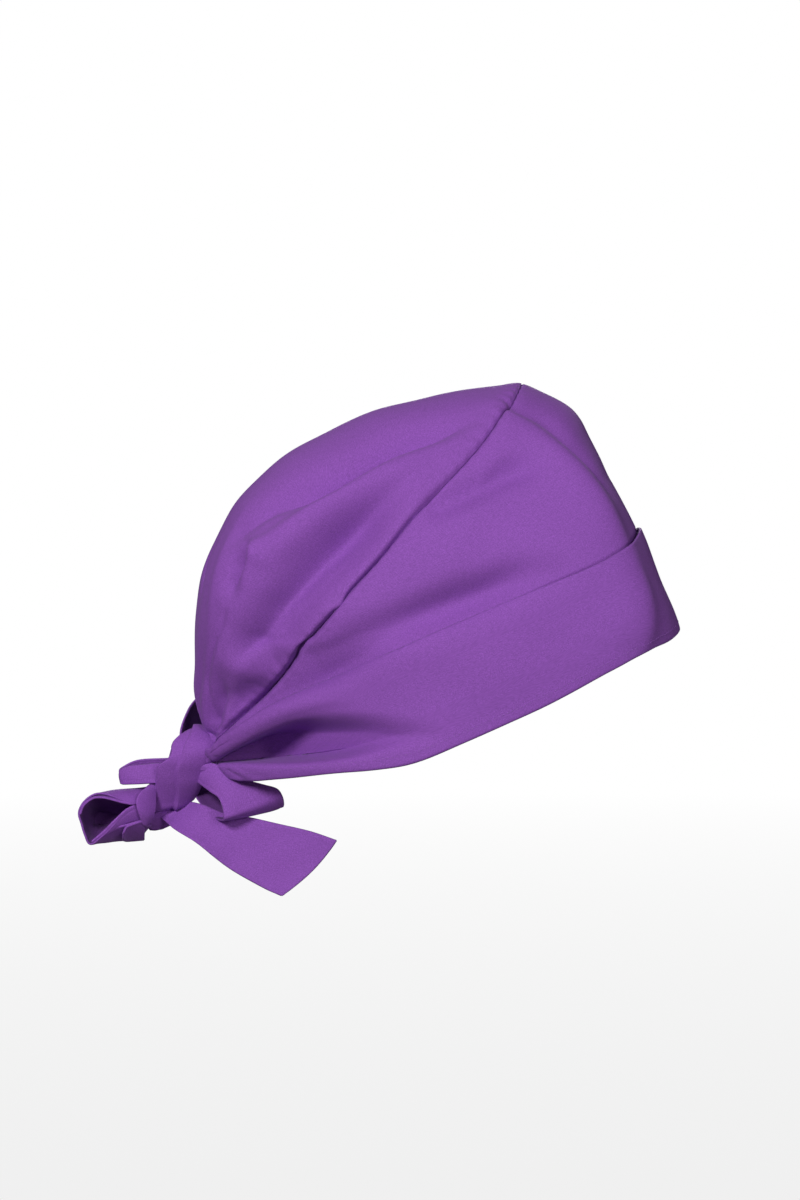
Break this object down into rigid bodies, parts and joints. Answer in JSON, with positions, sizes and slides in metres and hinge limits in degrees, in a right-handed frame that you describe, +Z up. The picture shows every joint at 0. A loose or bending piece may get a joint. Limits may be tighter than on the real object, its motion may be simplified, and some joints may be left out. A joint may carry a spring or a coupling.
{
  "type": "tie-back scrub cap",
  "caption": "Soft cotton scrub cap as worn: a side panel with a turned-up cuff, a full crown panel gathered to the nape, and ties knotted in a small bow with hanging ends.",
  "frame": {"origin": "middle of the head opening, where the cap sits on a head", "axes": "+X towards the forehead, +Y towards the wearer's left side, +Z up, with the rim tilted as worn"},
  "size_m": [0.3006, 0.1649, 0.2571],
  "materials": {
    "cap_cloth": "matt plain-weave cotton, purple"
  },
  "bodies": {
    "root": {"side_panel": "cap_cloth", "crown_panel": "cap_cloth", "cuff": "cap_cloth", "knot_wrap": "cap_cloth", "knot_core": "cap_cloth", "knot_turn": "cap_cloth", "bow_loop_left": "cap_cloth", "bow_loop_right": "cap_cloth", "tie_tail_long": "cap_cloth", "tie_tail_upper": "cap_cloth", "tie_tail_lower": "cap_cloth", "tie_strap_left": "cap_cloth"}
  },
  "joints": []
}
